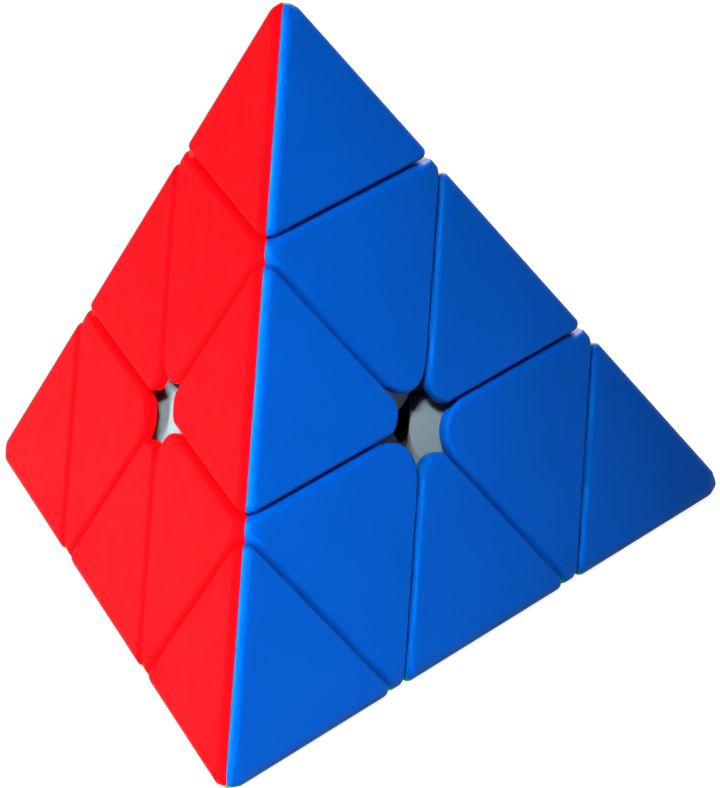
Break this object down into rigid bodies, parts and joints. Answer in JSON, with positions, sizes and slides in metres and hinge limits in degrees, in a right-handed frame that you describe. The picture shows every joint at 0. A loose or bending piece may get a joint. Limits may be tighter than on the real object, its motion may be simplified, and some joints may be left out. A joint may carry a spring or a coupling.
{
  "type": "pyramid twisty puzzle",
  "caption": "Tetrahedral twisty puzzle: triangular coloured panels on turning corner layers, free-turning tips and edge pieces held around a central core.",
  "frame": {"origin": "the centroid of the pyramid, where the four turning axes cross", "axes": "+Z through the top corner; the green base faces -Z; the front corner points to -Y; +X to the right"},
  "size_m": [0.098, 0.0851, 0.0803],
  "materials": {
    "red_plastic": "satin moulded plastic, fine texture",
    "blue_plastic": "satin moulded plastic, fine texture",
    "yellow_plastic": "satin moulded plastic, fine texture",
    "green_plastic": "satin moulded plastic, fine texture",
    "grey_plastic": "smooth light grey bearing plastic",
    "black_plastic": "smooth black bearing plastic",
    "steel": "plated steel"
  },
  "bodies": {
    "core": {"core": "black_plastic", "top_screw": "steel", "top_spring": "steel", "front_screw": "steel", "front_spring": "steel", "left_screw": "steel", "left_spring": "steel", "right_screw": "steel", "right_spring": "steel"},
    "top_axial": {"top_axial_body": "grey_plastic", "top_axial_red_panel": "red_plastic", "top_axial_blue_panel": "blue_plastic", "top_axial_yellow_panel": "yellow_plastic"},
    "top_tip": {"top_tip_base": "grey_plastic", "top_tip_red_panel": "red_plastic", "top_tip_blue_panel": "blue_plastic", "top_tip_yellow_panel": "yellow_plastic"},
    "front_axial": {"front_axial_body": "grey_plastic", "front_axial_red_panel": "red_plastic", "front_axial_blue_panel": "blue_plastic", "front_axial_green_panel": "green_plastic"},
    "front_tip": {"front_tip_base": "grey_plastic", "front_tip_red_panel": "red_plastic", "front_tip_blue_panel": "blue_plastic", "front_tip_green_panel": "green_plastic"},
    "left_axial": {"left_axial_body": "grey_plastic", "left_axial_red_panel": "red_plastic", "left_axial_yellow_panel": "yellow_plastic", "left_axial_green_panel": "green_plastic"},
    "left_tip": {"left_tip_base": "grey_plastic", "left_tip_red_panel": "red_plastic", "left_tip_yellow_panel": "yellow_plastic", "left_tip_green_panel": "green_plastic"},
    "right_axial": {"right_axial_body": "grey_plastic", "right_axial_blue_panel": "blue_plastic", "right_axial_yellow_panel": "yellow_plastic", "right_axial_green_panel": "green_plastic"},
    "right_tip": {"right_tip_base": "grey_plastic", "right_tip_blue_panel": "blue_plastic", "right_tip_yellow_panel": "yellow_plastic", "right_tip_green_panel": "green_plastic"},
    "top_front_edge": {"top_front_edge_foot": "black_plastic", "top_front_edge_red_panel": "red_plastic", "top_front_edge_blue_panel": "blue_plastic"},
    "top_left_edge": {"top_left_edge_foot": "black_plastic", "top_left_edge_red_panel": "red_plastic", "top_left_edge_yellow_panel": "yellow_plastic"},
    "top_right_edge": {"top_right_edge_foot": "black_plastic", "top_right_edge_blue_panel": "blue_plastic", "top_right_edge_yellow_panel": "yellow_plastic"},
    "front_left_edge": {"front_left_edge_foot": "black_plastic", "front_left_edge_red_panel": "red_plastic", "front_left_edge_green_panel": "green_plastic"},
    "front_right_edge": {"front_right_edge_foot": "black_plastic", "front_right_edge_blue_panel": "blue_plastic", "front_right_edge_green_panel": "green_plastic"},
    "left_right_edge": {"left_right_edge_foot": "black_plastic", "left_right_edge_yellow_panel": "yellow_plastic", "left_right_edge_green_panel": "green_plastic"}
  },
  "joints": [
    {"name": "top_layer_turn", "type": "hinge", "parent": "core", "child": "top_axial", "pos_m": [0, 0, 0], "axis": [0, 0, -1], "range_deg": [-120, 240]},
    {"name": "front_layer_turn", "type": "hinge", "parent": "core", "child": "front_axial", "pos_m": [0, 0, 0], "axis": [0, -0.9428, -0.3333], "range_deg": [-120, 240]},
    {"name": "left_layer_turn", "type": "hinge", "parent": "core", "child": "left_axial", "pos_m": [0, 0, 0], "axis": [0.8165, -0.4714, 0.3333], "range_deg": [-120, 240]},
    {"name": "right_layer_turn", "type": "hinge", "parent": "core", "child": "right_axial", "pos_m": [0, 0, 0], "axis": [-0.8165, -0.4714, 0.3333], "range_deg": [-120, 240]},
    {"name": "top_tip_turn", "type": "hinge", "parent": "top_axial", "child": "top_tip", "pos_m": [0, 0, 0], "axis": [0, 0, 1], "continuous": true},
    {"name": "front_tip_turn", "type": "hinge", "parent": "front_axial", "child": "front_tip", "pos_m": [0, 0, 0], "axis": [0, -0.9428, -0.3333], "continuous": true},
    {"name": "left_tip_turn", "type": "hinge", "parent": "left_axial", "child": "left_tip", "pos_m": [0, 0, 0], "axis": [-0.8165, 0.4714, -0.3333], "continuous": true},
    {"name": "right_tip_turn", "type": "hinge", "parent": "right_axial", "child": "right_tip", "pos_m": [0, 0, 0], "axis": [0.8165, 0.4714, -0.3333], "continuous": true},
    {"name": "top_front_edge_follows_front", "type": "hinge", "parent": "top_axial", "child": "top_front_edge", "pos_m": [0, 0, 0], "axis": [0, -0.9428, -0.3333], "range_deg": [-120, 240]},
    {"name": "top_left_edge_follows_left", "type": "hinge", "parent": "top_axial", "child": "top_left_edge", "pos_m": [0, 0, 0], "axis": [0.8165, -0.4714, 0.3333], "range_deg": [-120, 240]},
    {"name": "top_right_edge_follows_top", "type": "hinge", "parent": "right_axial", "child": "top_right_edge", "pos_m": [0, 0, 0], "axis": [0, 0, -1], "range_deg": [-120, 240]},
    {"name": "front_left_edge_follows_left", "type": "hinge", "parent": "front_axial", "child": "front_left_edge", "pos_m": [0, 0, 0], "axis": [0.8165, -0.4714, 0.3333], "range_deg": [-120, 240]},
    {"name": "front_right_edge_follows_right", "type": "hinge", "parent": "front_axial", "child": "front_right_edge", "pos_m": [0, 0, 0], "axis": [-0.8165, -0.4714, 0.3333], "range_deg": [-120, 240]},
    {"name": "left_right_edge_follows_right", "type": "hinge", "parent": "left_axial", "child": "left_right_edge", "pos_m": [0, 0, 0], "axis": [-0.8165, -0.4714, 0.3333], "range_deg": [-120, 240]}
  ],
  "couplings": [
    {"joint": "top_front_edge_follows_front", "follows": "front_layer_turn", "ratio": 1},
    {"joint": "top_left_edge_follows_left", "follows": "left_layer_turn", "ratio": 1},
    {"joint": "top_right_edge_follows_top", "follows": "top_layer_turn", "ratio": 1},
    {"joint": "front_left_edge_follows_left", "follows": "left_layer_turn", "ratio": 1},
    {"joint": "front_right_edge_follows_right", "follows": "right_layer_turn", "ratio": 1},
    {"joint": "left_right_edge_follows_right", "follows": "right_layer_turn", "ratio": 1}
  ]
}
